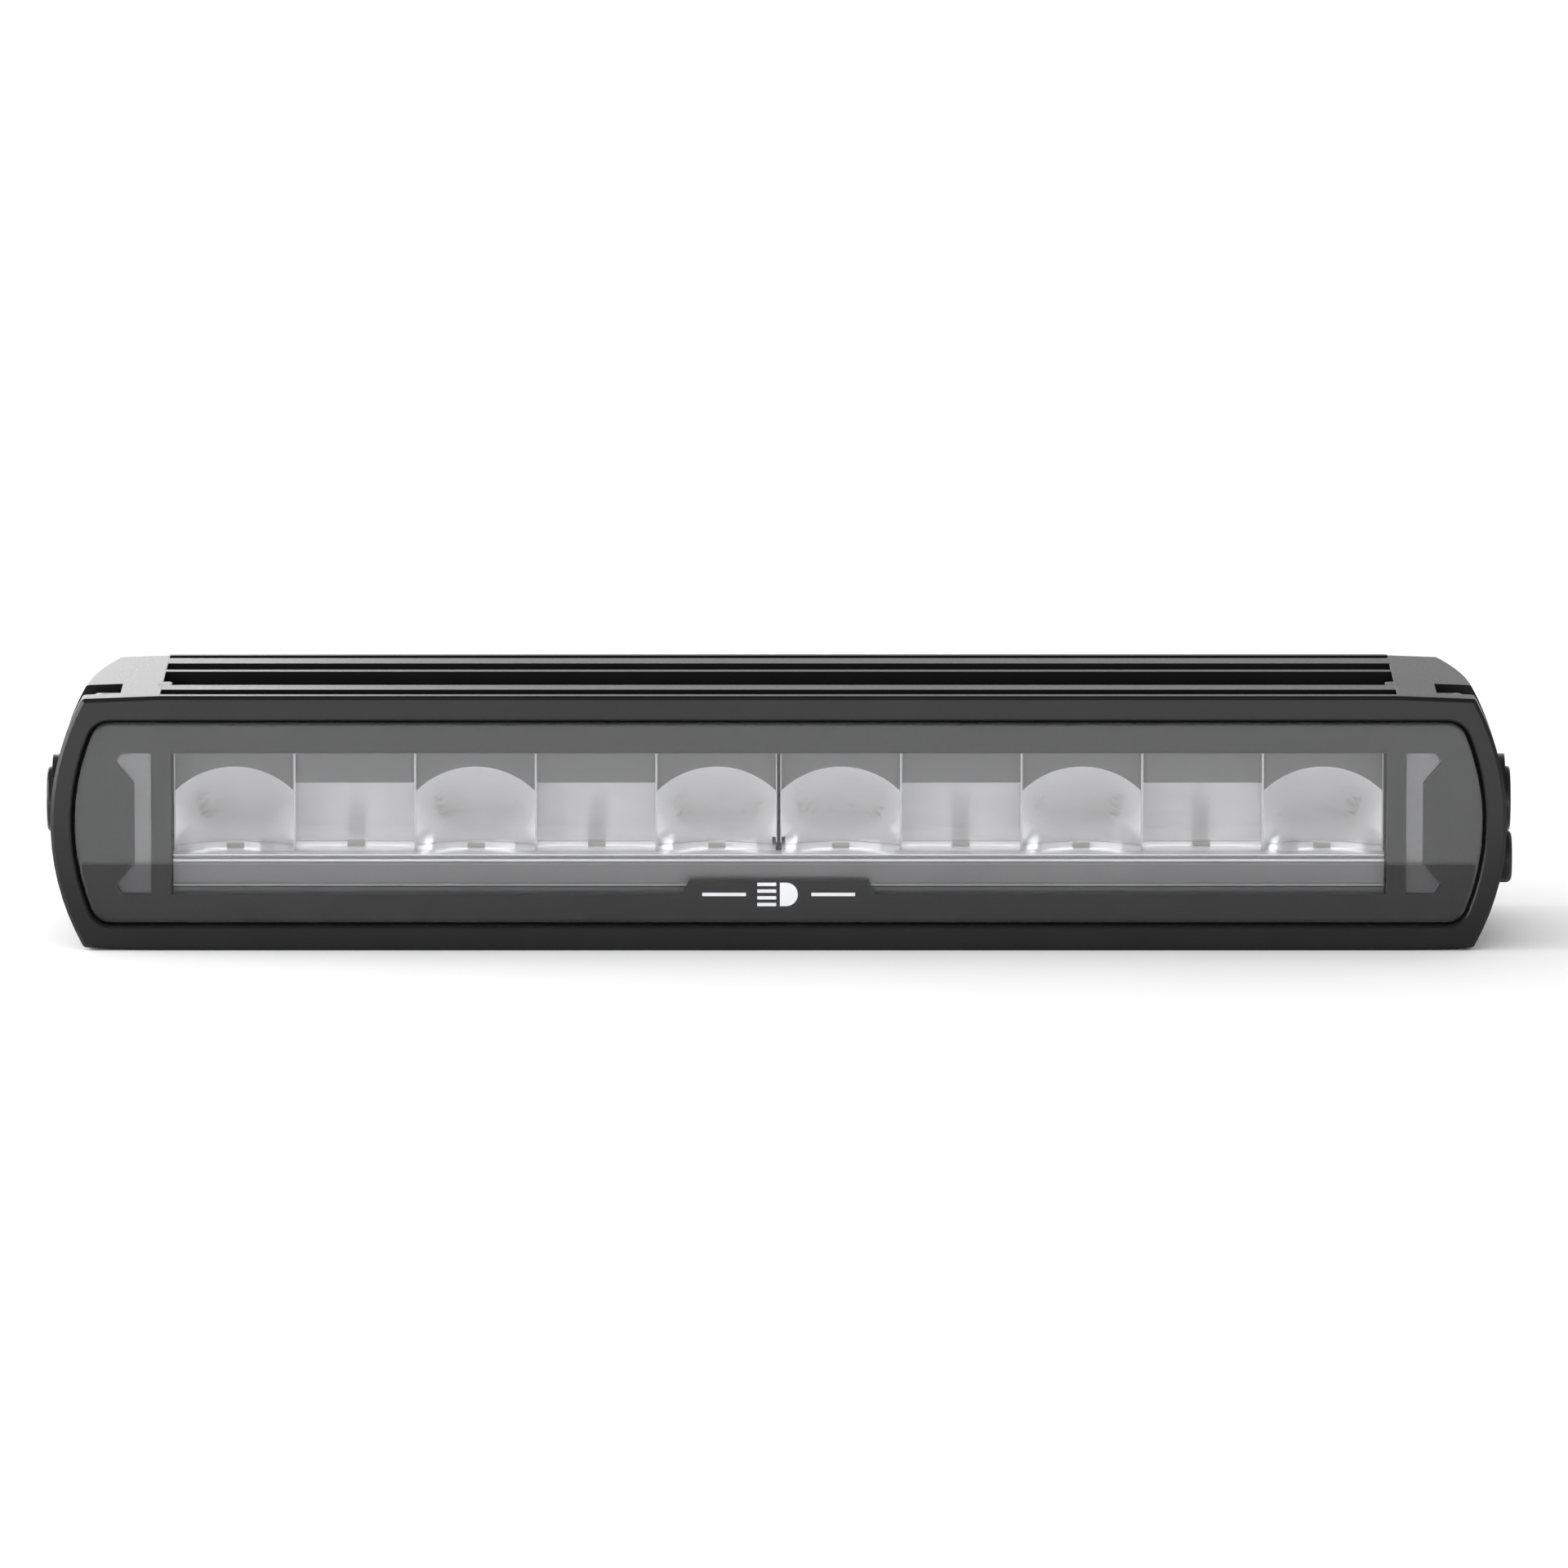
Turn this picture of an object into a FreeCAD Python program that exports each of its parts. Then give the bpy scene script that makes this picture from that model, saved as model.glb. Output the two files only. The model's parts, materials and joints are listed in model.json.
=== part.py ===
import FreeCAD, Part

import math
import os
from collections import namedtuple
from types import SimpleNamespace

import Sketcher
from FreeCAD import Placement, Rotation, Vector

# An LED light bar for trucks and trailers.
# +X runs along the bar, the lens faces -Y and +Z is up.
# The origin is under the middle of the bar, on the plane that the bar rests on.
# Heights in the sketches are counted from the bar's mid height.

DIMENSIONS = {
    # Outer shape
    "bar_length": 300.0,
    "bar_height": 53.0,
    "bar_depth": 60.0,
    "flank_radius": 53.0,
    "corner_drop": 0.6,
    "corner_round": 1.0,
    "plan_radius": 200.0,
    "plan_start": -15.0,
    "joint_reach": 127.3,
    # Bezel
    "bezel_thickness": 3.0,
    "bezel_flank": 4.25,
    "bezel_band": 5.1,
    "bezel_chamfer": 0.7,
    "opening_chamfer": 0.35,
    "opening_corner": 5.0,
    # Lens, its opaque frame and the seal
    "lens_setback": 0.4,
    "lens_gap": 0.75,
    "lens_panel": 2.35,
    "lens_bond": 0.05,
    "lens_edge_round": 0.4,
    "flange_overlap": 1.2,
    "flange_thickness": 1.4,
    "flange_play": 0.2,
    "seal_thickness": 1.0,
    "mask_thickness": 1.4,
    "mask_skirt": 1.6,
    # Windows in the mask
    "window_reach": 125.25,
    "window_top": 14.3,
    "window_bottom": 15.1,
    "tab_reach": 18.5,
    "tab_base_reach": 19.85,
    "tab_height": 2.9,
    "bracket_inner": 129.3,
    "bracket_outer": 132.8,
    "bracket_shoulder": 135.3,
    "bracket_tip": 136.5,
    "bracket_chamfer": 2.0,
    "bracket_flare": 6.4,
    # Symbol
    "symbol_thickness": 0.15,
    "symbol_line": 0.7,
    "symbol_height": 4.9,
    "symbol_bar": 9.0,
    "symbol_bar_start": 6.75,
    "lamp_back": 0.25,
    "lamp_centre": 1.5,
    "ray_start": -4.4,
    "ray_end": -0.5,
    # Housing extrusion
    "chamber_half": 18.4,
    "chamber_rear": 12.0,
    "shelf_front": -17.5,
    "shelf_top": -9.1,
    "shelf_thickness": 3.0,
    "front_groove_depth": 2.6,
    "front_groove_end": -20.4,
    "wide_groove_depth": 5.0,
    "wide_groove_start": -13.8,
    "wide_groove_end": 5.0,
    "middle_groove_depth": 6.0,
    "middle_groove_start": 7.8,
    "middle_groove_end": 16.8,
    "rear_groove_depth": 8.0,
    "rear_groove_start": 24.3,
    "rear_groove_end": 28.2,
    "fin_slot_height": 4.5,
    "fin_slot_depth": 12.0,
    "fin_pitch": 7.0,
    # Optics
    "board_thickness": 1.6,
    "pad_thickness": 0.3,
    "board_front": -18.2,
    "board_rear": -0.5,
    "module_gap": 0.35,
    "cell_pitch": 24.9,
    "web_front": -18.3,
    "module_rear": -5.4,
    "module_top": 16.5,
    "dish_vertex": -6.6,
    "dish_radius": 17.5,
    "trough_height": 14.1,
    "rib_thickness": 0.45,
    "rib_depth": 1.0,
    "module_seat": 0.05,
    "pin_notch": 1.35,
    "pin_notch_height": 1.7,
    "tab_thickness": 1.2,
    "optics_screw_depth": -2.6,
    "optics_screw_spacing": 49.8,
    "module_side_play": 0.25,
    "tab_half_width": 3.0,
    "tab_rear_play": 0.3,
    "led_size": 3.5,
    "dish_led_lead": 0.6,
    "trough_led_lead": 1.2,
    "led_height": 0.9,
    # Lower trim
    "trim_reach": 124.9,
    "trim_front": -24.1,
    "trim_play": 0.05,
    "trim_rear_play": 0.2,
    "trim_web": 1.6,
    "trim_wall": 1.8,
    "trim_slope": 0.1,
    "trim_lip_end": 0.25,
    "trim_groove_depth": 0.8,
    "trim_groove_end": 0.9,
    "trim_rail_end": 1.5,
    "trim_slab_depth": 0.4,
    "trim_slab_end": 6.0,
    "trim_bead_end": 6.6,
    "trim_foot_depth": 0.6,
    # Position lights
    "guide_margin": 0.8,
    "guide_front": -25.7,
    "guide_rear": -18.0,
    "position_board_front": -16.8,
    "position_board_rear": -15.6,
    "position_board_half": 15.0,
    "position_board_ledge": 2.0,
    # End caps
    "gasket_thickness": 0.8,
    "gasket_outer": 19.7,
    "gasket_inner": 18.6,
    "gasket_rear": 15.2,
    "gasket_rail": 2.0,
    "cap_blank_overlap": 5.0,
    "cavity_reach": 139.0,
    "cavity_half": 16.5,
    "cavity_rear": -6.0,
    "notch_reach": 135.6,
    "notch_front": -23.5,
    "notch_rear": -10.0,
    "notch_floor": 18.2,
    "lug_length": 1.9,
    "lug_chamfer": 0.5,
    "lug_width": 4.5,
    "lug_play": 0.05,
    # Fasteners
    "cap_screw_radius": 2.0,
    "cap_screw_head": 3.5,
    "cap_screw_head_height": 4.0,
    "cap_screw_front_y": -17.1,
    "cap_screw_front_z": 21.8,
    "cap_screw_rear_y": 20.6,
    "cap_screw_rear_z": 21.4,
    "cap_screw_grip": 15.0,
    "counterbore_play": 0.6,
    "bezel_screw_reach": 139.8,
    "bezel_screw_height": 23.8,
    "small_screw_radius": 1.25,
    "small_screw_head": 2.25,
    "small_screw_head_height": 1.65,
    "bezel_screw_bite": 1.8,
    # Side bolts
    "bolt_depth": 4.0,
    "boss_reach": 149.2,
    "boss_radius": 9.6,
    "washer_radius": 9.4,
    "washer_bore": 4.3,
    "washer_thickness": 1.6,
    "bolt_radius": 4.0,
    "bolt_head_radius": 6.8,
    "bolt_head_height": 1.2,
    "bolt_head_round": 0.7,
    "bolt_socket": 2.9,
    "bolt_socket_depth": 3.0,
    "bolt_tip_reach": 136.0,
    "insert_radius": 6.0,
    "insert_bore": 4.05,
    "insert_start": 134.8,
    "insert_end": 148.8,
    "bolt_relief": 131.5,
    "bolt_relief_play": 0.3,
    # Vent
    "vent_depth": -10.0,
    "vent_height": -9.9,
    "vent_radius": 5.45,
    "vent_reach": 151.8,
    "vent_seat": 148.0,
    "vent_stem": 3.0,
    "vent_bore": 1.8,
    "vent_round": 1.2,
    "vent_channel": 1.0,
    "membrane_place": 140.0,
    "membrane_thickness": 0.4,
    # Driver
    "driver_reach": 95.0,
    "driver_low": -5.0,
    "driver_high": 17.0,
    "driver_front": 6.0,
    "driver_screw_reach": 88.0,
    "driver_screw_low": -1.5,
    "driver_screw_high": 13.5,
    "standoff_radius": 3.0,
    "driver_screw_play": 0.5,
    "inductor_width": 14.0,
    "inductor_depth": 7.5,
    "inductor_low": -1.0,
    "inductor_high": 13.0,
    "capacitor_radius": 4.0,
    "capacitor_depth": 8.0,
    "capacitor_level": 6.0,
    "transistor_width": 6.5,
    "transistor_depth": 2.3,
    "controller_width": 7.0,
    "controller_depth": 1.0,
    "connector_width": 10.0,
    "connector_depth": 6.0,
    "component_low": 3.0,
    "component_high": 9.0,
    # Cable gland
    "gland_place": -60.0,
    "gland_wall": 18.0,
    "gland_pocket": 10.5,
    "gland_neck": 6.0,
    "gland_flange": 8.6,
    "gland_flange_rear": 21.0,
    "gland_cap_radius": 7.5,
    "gland_cap_rear": 28.5,
    "gland_seal_radius": 4.6,
    "gland_seal_front": 14.0,
    "gland_seal_rear": 27.0,
    "cable_radius": 3.4,
    "gland_bore_play": 0.3,
    "gland_cap_bore_play": 0.6,
    "gland_stem_play": 0.2,
    "gland_nut_radius": 8.6,
    "gland_nut_thickness": 2.8,
}

doc = FreeCAD.newDocument("light_bar")
sheet = doc.addObject("Spreadsheet::Sheet", "Dimensions")
for row, (alias, number) in enumerate(DIMENSIONS.items(), start=1):
    sheet.set(f"A{row}", alias)
    sheet.set(f"B{row}", str(number))
    sheet.setAlias(f"B{row}", alias)
doc.recompute()

subparts = []


class Size:
    """A length that carries its value and the expression that binds it to the sheet."""

    def __init__(self, value, text):
        self.value = value
        self.text = text

    def __add__(self, other):
        other = as_size(other)
        return Size(self.value + other.value, f"({self.text} + {other.text})")

    def __sub__(self, other):
        other = as_size(other)
        return Size(self.value - other.value, f"({self.text} - {other.text})")

    def __mul__(self, other):
        other = as_size(other)
        return Size(self.value * other.value, f"({self.text} * {other.text})")

    def __truediv__(self, other):
        other = as_size(other)
        return Size(self.value / other.value, f"({self.text} / {other.text})")

    def __neg__(self):
        return as_size(0) - self

    def __radd__(self, other):
        return as_size(other) + self

    def __rsub__(self, other):
        return as_size(other) - self

    def __rmul__(self, other):
        return as_size(other) * self


def as_size(number):
    return number if isinstance(number, Size) else Size(float(number), f"({float(number)})")


def square_root(size):
    return Size(math.sqrt(size.value), f"sqrt({size.text})")


def bind(target, path, size):
    target.setExpression(path, as_size(size).text)


d = SimpleNamespace(**{name: Size(sheet.get(name), f"Dimensions.{name}") for name in DIMENSIONS})

# Levels that several pieces share, front to back and bottom to top
MID = d.bar_height / 2
FRONT = -d.bar_depth / 2
REAR = d.bar_depth / 2
BEZEL_REAR = FRONT + d.bezel_thickness
LENS_FRONT = FRONT + d.lens_setback
FLANGE_FRONT = BEZEL_REAR + d.seal_thickness
FLANGE_REAR = FLANGE_FRONT + d.flange_thickness
LENS_REAR = LENS_FRONT + d.lens_panel
MASK_FRONT = LENS_REAR + d.lens_bond
MASK_REAR = MASK_FRONT + d.mask_thickness
OPENING_HALF = MID - d.bezel_band
OPENING_REACH = d.bar_length / 2 - d.bezel_flank
OPENING_BOW = d.flank_radius - d.bezel_flank
BOARD_TOP = d.shelf_top + d.pad_thickness + d.board_thickness
MODULE_BOTTOM = BOARD_TOP + d.module_seat
CELLS = 5
SWEEP_ANGLE = 25  # degrees, enough for the end caps' sides to run past the rear
MODULE_REACH = d.module_gap + d.cell_pitch * CELLS
HEAD_SEAT = MODULE_BOTTOM + d.tab_thickness
WASHER_REACH = d.boss_reach + d.washer_thickness
BOLT_REACH = WASHER_REACH + d.bolt_head_height
DRIVER_REAR = d.driver_front + d.board_thickness
OVERRUN = 1  # how far a cutting shape runs past the piece that it cuts

# Where the driver's components start or stand, along the bar
INDUCTOR_STARTS = (-37, 3)
CAPACITOR_PLACES = (-66, -56, -46, 30)
TRANSISTOR_STARTS = (42, 52, 62)
CONTROLLER_START = -14
CONNECTOR_PLACES = (-78, 78)

Corner = namedtuple("Corner", "x y arc", defaults=[None])
Circle = namedtuple("Circle", "x y radius")

SKETCH_PLANES = {"X": ("YZ_Plane", 1), "Y": ("XZ_Plane", -1), "Z": ("XY_Plane", 1)}
ZERO = as_size(0)


# Sketches and features

def origin_plane(body, role):
    return next(plane for plane in body.Origin.OriginFeatures if plane.Role == role)


def pin_point(sketch, geometry, point, corner):
    """Hold a sketch point at a place that the sheet sets."""
    for kind, axis, size in (("DistanceX", -2, corner.x), ("DistanceY", -1, corner.y)):
        size = as_size(size)
        if abs(size.value) < 1e-9:
            sketch.addConstraint(Sketcher.Constraint("PointOnObject", geometry, point, axis))
            continue
        index = sketch.addConstraint(Sketcher.Constraint(kind, geometry, point, size.value))
        sketch.setExpression(f"Constraints[{index}]", size.text)


def hold_radius(sketch, geometry, radius):
    radius = as_size(radius)
    index = sketch.addConstraint(Sketcher.Constraint("Radius", geometry, radius.value))
    sketch.setExpression(f"Constraints[{index}]", radius.text)


def flat_point(corner):
    return Vector(as_size(corner.x).value, as_size(corner.y).value, 0)


def draw_arc(sketch, start, end, arc):
    """Draw the short arc from start to end, and return it with its start and end point numbers."""
    centre = flat_point(arc)
    first = math.atan2(start.y - centre.y, start.x - centre.x)
    last = math.atan2(end.y - centre.y, end.x - centre.x)
    forwards = (last - first) % (2 * math.pi) < math.pi
    if not forwards:
        first, last = last, first
    circle = Part.Circle(centre, Vector(0, 0, 1), as_size(arc.radius).value)
    geometry = sketch.addGeometry(Part.ArcOfCircle(circle, first, last), False)
    return (geometry, 1, 2) if forwards else (geometry, 2, 1)


def draw_outline(sketch, corners):
    """Draw a closed outline through its corners."""
    edges = []
    for index, corner in enumerate(corners):
        start = flat_point(corner)
        end = flat_point(corners[(index + 1) % len(corners)])
        if corner.arc is None:
            edges.append((sketch.addGeometry(Part.LineSegment(start, end), False), 1, 2))
        else:
            edges.append(draw_arc(sketch, start, end, corner.arc))
    for index, (geometry, _, last) in enumerate(edges):
        following, first, _ = edges[(index + 1) % len(edges)]
        sketch.addConstraint(Sketcher.Constraint("Coincident", geometry, last, following, first))
    for (geometry, first, _), corner in zip(edges, corners):
        pin_point(sketch, geometry, first, corner)
        if corner.arc is not None:
            hold_radius(sketch, geometry, corner.arc.radius)


def draw_circle(sketch, circle):
    shape = Part.Circle(flat_point(circle), Vector(0, 0, 1), as_size(circle.radius).value)
    geometry = sketch.addGeometry(shape, False)
    pin_point(sketch, geometry, 3, circle)
    hold_radius(sketch, geometry, circle.radius)


def add_sketch(body, axis, level, outlines, shift=ZERO):
    """Attach a sketch to the plane across an axis; shift moves its own origin sideways."""
    role, facing = SKETCH_PLANES[axis]
    sketch = body.newObject("Sketcher::SketchObject", "Sketch")
    sketch.AttachmentSupport = [(origin_plane(body, role), "")]
    sketch.MapMode = "FlatFace"
    bind(sketch, "AttachmentOffset.Base.x", shift)
    bind(sketch, "AttachmentOffset.Base.z", as_size(level) * facing)
    if axis != "Z":
        bind(sketch, "AttachmentOffset.Base.y", MID)
    for outline in outlines:
        if isinstance(outline, Circle):
            draw_circle(sketch, outline)
        else:
            draw_outline(sketch, outline)
    return sketch


def add_pad(body, axis, start, end, *outlines):
    pad = body.newObject("PartDesign::Pad", "Pad")
    pad.Profile = add_sketch(body, axis, start, outlines)
    pad.Reversed = axis == "Y"
    bind(pad, "Length", end - start)
    doc.recompute()


def add_pocket(body, axis, start, end, *outlines):
    before = body.Shape.Volume
    pocket = body.newObject("PartDesign::Pocket", "Pocket")
    pocket.Profile = add_sketch(body, axis, start, outlines)
    pocket.Reversed = axis != "Y"
    bind(pocket, "Length", end - start)
    doc.recompute()
    if body.Shape.Volume > before - 1e-3:
        raise RuntimeError(f"a pocket cuts nothing from {body.Label}")


def add_dress_up(body, kind, size_property, size, wanted):
    """Round or chamfer the edges that wanted() picks."""
    base = body.Tip
    edges = [f"Edge{number}" for number, edge in enumerate(base.Shape.Edges, start=1) if wanted(edge)]
    feature = body.newObject(f"PartDesign::{kind}", kind)
    feature.Base = (base, edges)
    bind(feature, size_property, size)
    doc.recompute()


def add_fillet(body, radius, wanted):
    add_dress_up(body, "Fillet", "Radius", radius, wanted)


def add_chamfer(body, size, wanted):
    add_dress_up(body, "Chamfer", "Size", size, wanted)


def new_body(label):
    body = doc.addObject("PartDesign::Body", label)
    body.Label = label
    return body


def extruded_body(label, axis, start, end, *outlines):
    body = new_body(label)
    add_pad(body, axis, start, end, *outlines)
    return body


# Primitives and booleans

AXIS_TURNS = {
    "X": Rotation(Vector(0, 1, 0), 90),
    "Y": Rotation(Vector(1, 0, 0), -90),
    "Z": Rotation(),
}


def place(target, x, y, z):
    for letter, size in zip("xyz", (x, y, z)):
        bind(target, f"Placement.Base.{letter}", size)


def along(axis, start, x, y, z):
    """Replace the coordinate along the axis with start."""
    spot = {"X": x, "Y": y, "Z": z}
    spot[axis] = start
    return spot["X"], spot["Y"], spot["Z"]


def box(low, high):
    """A box between two corners, heights counted from mid height."""
    solid = doc.addObject("Part::Box", "Box")
    for name, start, end in zip(("Length", "Width", "Height"), low, high):
        bind(solid, name, as_size(end) - start)
    place(solid, low[0], low[1], MID + low[2])
    return solid


def cylinder(axis, start, end, radius, x=ZERO, y=ZERO, z=ZERO):
    """A cylinder along an axis, heights counted from mid height."""
    solid = doc.addObject("Part::Cylinder", "Cylinder")
    solid.Placement = Placement(Vector(), AXIS_TURNS[axis])
    bind(solid, "Radius", radius)
    bind(solid, "Height", as_size(end) - start)
    x, y, z = along(axis, start, x, y, z)
    place(solid, x, y, MID + z)
    return solid


def hexagon(axis, start, end, corner_radius, x=ZERO, y=ZERO, z=ZERO):
    """A six-sided prism along an axis."""
    solid = doc.addObject("Part::Prism", "Prism")
    solid.Placement = Placement(Vector(), AXIS_TURNS[axis])
    solid.Polygon = 6
    bind(solid, "Circumradius", corner_radius)
    bind(solid, "Height", as_size(end) - start)
    x, y, z = along(axis, start, x, y, z)
    place(solid, x, y, MID + z)
    return solid


def fuse(*solids):
    joined = doc.addObject("Part::MultiFuse", "Fusion")
    joined.Shapes = list(solids)
    return joined


def cut(base, tool):
    rest = doc.addObject("Part::Cut", "Cut")
    rest.Base = base
    rest.Tool = tool
    return rest


def group(*solids):
    """Separate solids of one sub-part."""
    together = doc.addObject("Part::Compound", "Group")
    together.Links = list(solids)
    return together


def mirrored(source):
    """The same piece at the other end of the bar."""
    twin = doc.addObject("Part::Mirroring", "Mirror")
    twin.Source = source
    twin.Normal = Vector(1, 0, 0)
    return twin


def publish(piece, label):
    piece.Label = label
    subparts.append(piece)


def publish_pair(piece, label):
    """Publish a piece of the right end and its mirror image."""
    publish(piece, f"{label}_right")
    publish(mirrored(piece), f"{label}_left")


# Outlines, in sketch coordinates

def rectangle(left, low, right, high):
    return [Corner(left, low), Corner(right, low), Corner(right, high), Corner(left, high)]


def barrel(reach, half_height, bow, corner):
    """A long outline with bowed ends and rounded corners, centred on the sketch's origin."""
    bow_x = reach - bow
    drop = half_height - corner
    round_x = bow_x + square_root((bow - corner) * (bow - corner) - drop * drop)
    tip_x = bow_x + (round_x - bow_x) * bow / (bow - corner)
    tip_y = drop * bow / (bow - corner)
    return [
        Corner(-round_x, -half_height),
        Corner(round_x, -half_height, Circle(round_x, -drop, corner)),
        Corner(tip_x, -tip_y, Circle(bow_x, ZERO, bow)),
        Corner(tip_x, tip_y, Circle(round_x, drop, corner)),
        Corner(round_x, half_height),
        Corner(-round_x, half_height, Circle(-round_x, drop, corner)),
        Corner(-tip_x, tip_y, Circle(-bow_x, ZERO, bow)),
        Corner(-tip_x, -tip_y, Circle(-round_x, -drop, corner)),
    ]


def grown_opening(growth):
    """The bezel's opening, grown or shrunk all round."""
    return barrel(OPENING_REACH + growth, OPENING_HALF + growth, OPENING_BOW + growth,
                  d.opening_corner + growth)


def corner_reach():
    """How far out the sharp corner of the bar's outline lies."""
    height = MID - d.corner_drop
    return d.bar_length / 2 - d.flank_radius + square_root(
        d.flank_radius * d.flank_radius - height * height)


def bar_outline():
    """The bar seen from the front."""
    reach = corner_reach()
    height = MID - d.corner_drop
    bow_x = d.bar_length / 2 - d.flank_radius
    return [
        Corner(-d.joint_reach, -MID),
        Corner(d.joint_reach, -MID),
        Corner(reach, -height, Circle(bow_x, ZERO, d.flank_radius)),
        Corner(reach, height),
        Corner(d.joint_reach, MID),
        Corner(-d.joint_reach, MID),
        Corner(-reach, height, Circle(-bow_x, ZERO, d.flank_radius)),
        Corner(-reach, -height),
    ]


def end_outline(inner, shift):
    """The right end of the bar seen from the front, from inner outwards; shift moves it to the left."""
    reach = corner_reach() - shift
    height = MID - d.corner_drop
    bow_x = d.bar_length / 2 - d.flank_radius - shift
    return [
        Corner(inner - shift, -MID),
        Corner(d.joint_reach - shift, -MID),
        Corner(reach, -height, Circle(bow_x, ZERO, d.flank_radius)),
        Corner(reach, height),
        Corner(d.joint_reach - shift, MID),
        Corner(inner - shift, MID),
    ]


def bracket_outline(margin):
    """The right bracket-shaped window, grown all round by a margin."""
    top = d.window_top + margin
    low = -d.window_bottom - margin
    return [
        Corner(d.bracket_inner - margin, low),
        Corner(d.bracket_shoulder + margin, low),
        Corner(d.bracket_tip + margin, low + d.bracket_chamfer),
        Corner(d.bracket_outer + margin, low + d.bracket_flare),
        Corner(d.bracket_outer + margin, top - d.bracket_flare),
        Corner(d.bracket_tip + margin, top - d.bracket_chamfer),
        Corner(d.bracket_shoulder + margin, top),
        Corner(d.bracket_inner - margin, top),
    ]


def flipped(outline):
    """An outline mirrored left to right."""
    return [Corner(-corner.x, corner.y) for corner in reversed(outline)]


# Edge pickers

def lies_at(edge, axis, level):
    """Whether an edge lies in the plane across an axis at a level."""
    bounds = edge.BoundBox
    low = getattr(bounds, f"{axis}Min")
    high = getattr(bounds, f"{axis}Max")
    return abs(low - level) < 1e-4 and abs(high - level) < 1e-4


def runs_along(edge, axis):
    bounds = edge.BoundBox
    across = [name for name in "XYZ" if name != axis]
    return all(getattr(bounds, f"{name}Length") < 1e-4 for name in across)


def is_outer_corner(edge):
    """Whether an edge is one of the bar's four outer corners, which run front to back."""
    height = (MID - d.corner_drop).value
    place_now = edge.CenterOfMass
    return (runs_along(edge, "Y")
            and abs(abs(place_now.x) - corner_reach().value) < 0.01
            and abs(abs(place_now.z - MID.value) - height) < 0.01)


# Front

def make_bezel():
    body = extruded_body("front_bezel", "Y", FRONT, BEZEL_REAR, bar_outline())
    add_fillet(body, d.corner_round, is_outer_corner)
    add_chamfer(body, d.bezel_chamfer, lambda edge: lies_at(edge, "Y", FRONT.value))
    add_pocket(body, "Y", FRONT, BEZEL_REAR, grown_opening(ZERO))
    inner = (OPENING_REACH + OVERRUN).value

    def is_opening_edge(edge):
        bounds = edge.BoundBox
        return (lies_at(edge, "Y", FRONT.value)
                and max(-bounds.XMin, bounds.XMax) < inner
                and abs(edge.CenterOfMass.z - MID.value) < OPENING_HALF.value + 0.01)

    add_chamfer(body, d.opening_chamfer, is_opening_edge)
    holes = [Circle(side * d.bezel_screw_reach, level * d.bezel_screw_height, d.small_screw_radius)
             for side in (-1, 1) for level in (-1, 1)]
    add_pocket(body, "Y", BEZEL_REAR - d.bezel_screw_bite, BEZEL_REAR, *holes)
    publish(body, "front_bezel")


def make_lens():
    """A clear panel; the opaque frame behind it carries the flange."""
    body = extruded_body("front_lens", "Y", LENS_FRONT, LENS_REAR, grown_opening(-d.lens_gap))
    add_fillet(body, d.lens_edge_round, lambda edge: lies_at(edge, "Y", LENS_FRONT.value))
    publish(body, "front_lens")


def make_lens_seal():
    body = extruded_body("lens_seal", "Y", BEZEL_REAR, FLANGE_FRONT,
                         grown_opening(d.flange_overlap), grown_opening(-d.lens_gap))
    publish(body, "lens_seal")


def window_outline():
    """The long window, with a tab for the symbol in the middle of its lower edge."""
    return [
        Corner(-d.window_reach, -d.window_bottom),
        Corner(-d.tab_base_reach, -d.window_bottom),
        Corner(-d.tab_reach, -d.window_bottom + d.tab_height),
        Corner(d.tab_reach, -d.window_bottom + d.tab_height),
        Corner(d.tab_base_reach, -d.window_bottom),
        Corner(d.window_reach, -d.window_bottom),
        Corner(d.window_reach, d.window_top),
        Corner(-d.window_reach, d.window_top),
    ]


def symbol_pieces():
    """A high-beam sign: a D-shaped lamp with four rays, between two plain bars."""
    rear = MASK_FRONT + d.symbol_thickness
    middle = -d.window_bottom
    half = d.symbol_height / 2
    curve = Circle(d.lamp_centre, middle, half)
    lamp = [
        Corner(d.lamp_back, middle - half),
        Corner(d.lamp_centre, middle - half, curve),
        Corner(d.lamp_centre + half, middle, curve),
        Corner(d.lamp_centre, middle + half),
        Corner(d.lamp_back, middle + half),
    ]
    pieces = [extruded_body("symbol_lamp", "Y", MASK_FRONT, rear, lamp)]
    rays = 4
    step = (d.symbol_height - d.symbol_line) / (rays - 1)
    for ray in range(rays):
        low = middle - half + step * ray
        pieces.append(box((d.ray_start, MASK_FRONT, low), (d.ray_end, rear, low + d.symbol_line)))
    for start in (-d.symbol_bar_start - d.symbol_bar, d.symbol_bar_start):
        pieces.append(box((start, MASK_FRONT, middle - d.symbol_line / 2),
                          (start + d.symbol_bar, rear, middle + d.symbol_line / 2)))
    return pieces


def make_mask():
    """The lens's opaque frame: a plate with windows, a skirt and a flange; the symbol is let into it."""
    body = extruded_body("lens_mask_blank", "Y", MASK_FRONT, FLANGE_FRONT, grown_opening(-d.lens_gap))
    add_pad(body, "Y", FLANGE_FRONT, FLANGE_REAR, grown_opening(d.flange_overlap))
    add_pocket(body, "Y", MASK_REAR, FLANGE_REAR, grown_opening(-d.lens_gap - d.mask_skirt))
    for outline in (window_outline(), bracket_outline(ZERO), flipped(bracket_outline(ZERO))):
        add_pocket(body, "Y", MASK_FRONT, MASK_REAR, outline)
    symbol = group(*symbol_pieces())
    publish(cut(body, symbol), "lens_mask")
    publish(symbol, "beam_symbol")


# Optics

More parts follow.
